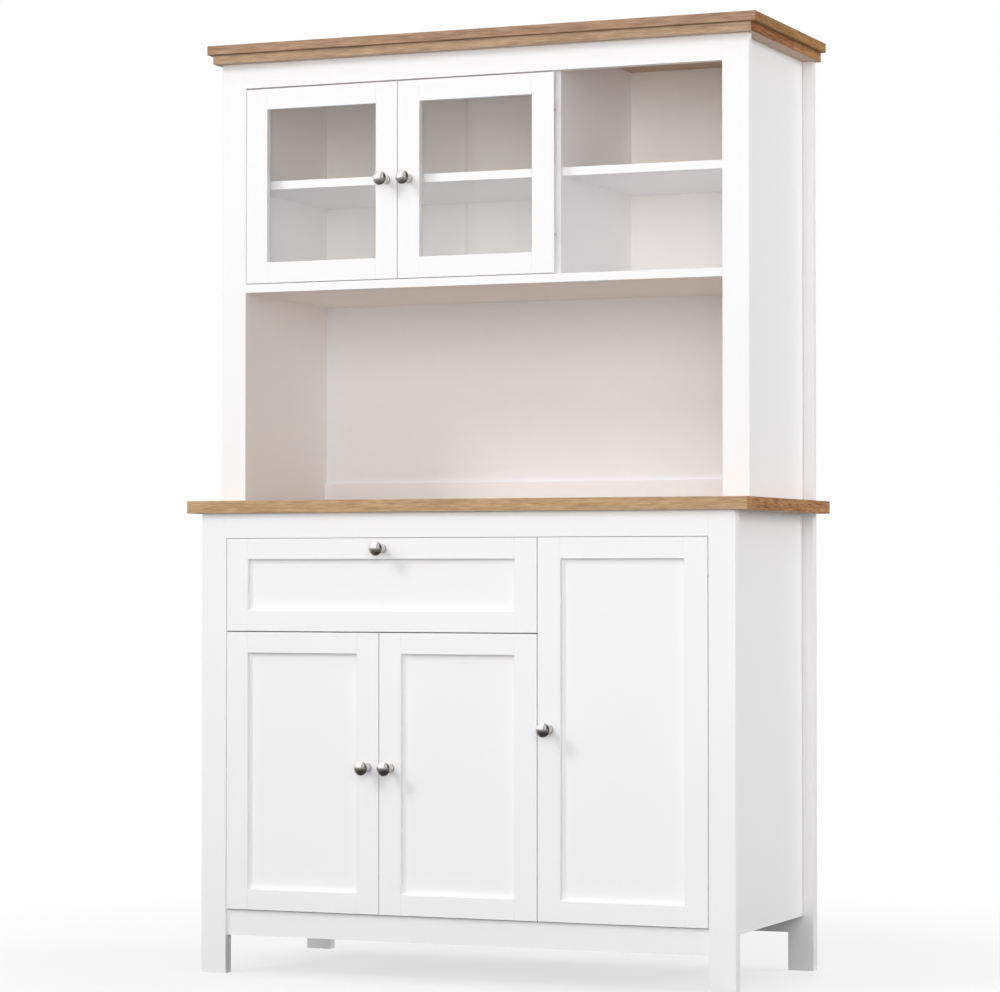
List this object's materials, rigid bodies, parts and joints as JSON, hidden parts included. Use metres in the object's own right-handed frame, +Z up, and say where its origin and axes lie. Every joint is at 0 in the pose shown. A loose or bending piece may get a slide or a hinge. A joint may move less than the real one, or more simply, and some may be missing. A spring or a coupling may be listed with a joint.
{
  "type": "kitchen cupboard",
  "caption": "Free-standing kitchen cupboard: white panelled base with doors and a drawer, oak worktop, and a set-back hutch with open niche, glazed doors, cubbies and oak cornice.",
  "frame": {"origin": "middle of the footprint on the floor: the bottom centre of the box round the whole cupboard, knobs included", "axes": "+Z up, +Y to the back, +X to the right of someone who faces the doors"},
  "size_m": [1.14, 0.528, 1.8],
  "materials": {
    "white_lacquered_wood": "white lacquer, satin",
    "oak": "oiled oak, matte",
    "white_hardboard": "white painted hardboard, satin",
    "bare_wood": "white washed softwood, matte",
    "white_plastic": "white extruded plastic, satin",
    "clear_glass": "clear float glass",
    "polished_metal": "polished nickel plate",
    "nickel_plated_steel": "nickel plated pressed steel"
  },
  "bodies": {
    "carcass": {"base_front_left_post": "white_lacquered_wood", "base_front_right_post": "white_lacquered_wood", "base_rear_left_post": "white_lacquered_wood", "base_rear_right_post": "white_lacquered_wood", "base_left_side": "white_lacquered_wood", "base_right_side": "white_lacquered_wood", "base_bottom": "white_lacquered_wood", "base_bottom_rail": "white_lacquered_wood", "base_top_rail": "white_lacquered_wood", "base_rear_rails": "white_lacquered_wood", "base_back": "white_hardboard", "base_partition": "white_lacquered_wood", "base_cross_rail": "white_lacquered_wood", "base_shelves": "white_lacquered_wood", "worktop": "oak", "niche_back": "white_hardboard", "cabinet_back": "white_hardboard", "cubby_back": "white_hardboard", "back_joint_strip": "white_plastic", "hutch_front_left_post": "white_lacquered_wood", "hutch_front_right_post": "white_lacquered_wood", "hutch_rear_posts": "white_lacquered_wood", "hutch_left_side": "white_lacquered_wood", "hutch_right_side": "white_lacquered_wood", "hutch_back_rail": "white_lacquered_wood", "hutch_deck": "white_lacquered_wood", "hutch_top_rail": "white_lacquered_wood", "hutch_divider": "white_lacquered_wood", "cabinet_shelf": "white_lacquered_wood", "cubby_shelf": "white_lacquered_wood", "cornice_lower_board": "oak", "cornice_upper_board": "oak", "hinge_arms": "nickel_plated_steel", "drawer_runners": "bare_wood"},
    "drawer": {"drawer_front_frame": "white_lacquered_wood", "drawer_front_panel": "white_lacquered_wood", "drawer_knob": "polished_metal", "drawer_bottom": "white_hardboard", "drawer_back": "bare_wood", "drawer_sides": "bare_wood"},
    "left_door": {"left_door_frame": "white_lacquered_wood", "left_door_panel": "white_lacquered_wood", "left_door_knob": "polished_metal", "left_door_hinge_cups": "nickel_plated_steel"},
    "middle_door": {"middle_door_frame": "white_lacquered_wood", "middle_door_panel": "white_lacquered_wood", "middle_door_knob": "polished_metal", "middle_door_hinge_cups": "nickel_plated_steel"},
    "tall_door": {"tall_door_frame": "white_lacquered_wood", "tall_door_panel": "white_lacquered_wood", "tall_door_knob": "polished_metal", "tall_door_hinge_cups": "nickel_plated_steel"},
    "left_glass_door": {"left_glass_door_frame": "white_lacquered_wood", "left_glass_pane": "clear_glass", "left_glass_door_knob": "polished_metal", "left_glass_door_hinge_cups": "nickel_plated_steel"},
    "right_glass_door": {"right_glass_door_frame": "white_lacquered_wood", "right_glass_pane": "clear_glass", "right_glass_door_knob": "polished_metal", "right_glass_door_hinge_cups": "nickel_plated_steel"}
  },
  "joints": [
    {"name": "left_door_hinge", "type": "hinge", "parent": "carcass", "child": "left_door", "pos_m": [-0.4764, -0.221, 0.3895], "axis": [0, 0, -1], "range_deg": [0, 95]},
    {"name": "middle_door_hinge", "type": "hinge", "parent": "carcass", "child": "middle_door", "pos_m": [0.1414, -0.221, 0.3895], "axis": [0, 0, 1], "range_deg": [0, 95]},
    {"name": "tall_door_hinge", "type": "hinge", "parent": "carcass", "child": "tall_door", "pos_m": [0.4764, -0.221, 0.47925], "axis": [0, 0, 1], "range_deg": [0, 95]},
    {"name": "left_glass_door_hinge", "type": "hinge", "parent": "carcass", "child": "left_glass_door", "pos_m": [-0.4764, -0.14, 1.52325], "axis": [0, 0, -1], "range_deg": [0, 95]},
    {"name": "right_glass_door_hinge", "type": "hinge", "parent": "carcass", "child": "right_glass_door", "pos_m": [0.1439, -0.14, 1.52325], "axis": [0, 0, 1], "range_deg": [0, 95]},
    {"name": "drawer_slide", "type": "slide", "parent": "carcass", "child": "drawer", "axis": [0, -1, 0], "range_m": [0, 0.3]}
  ]
}
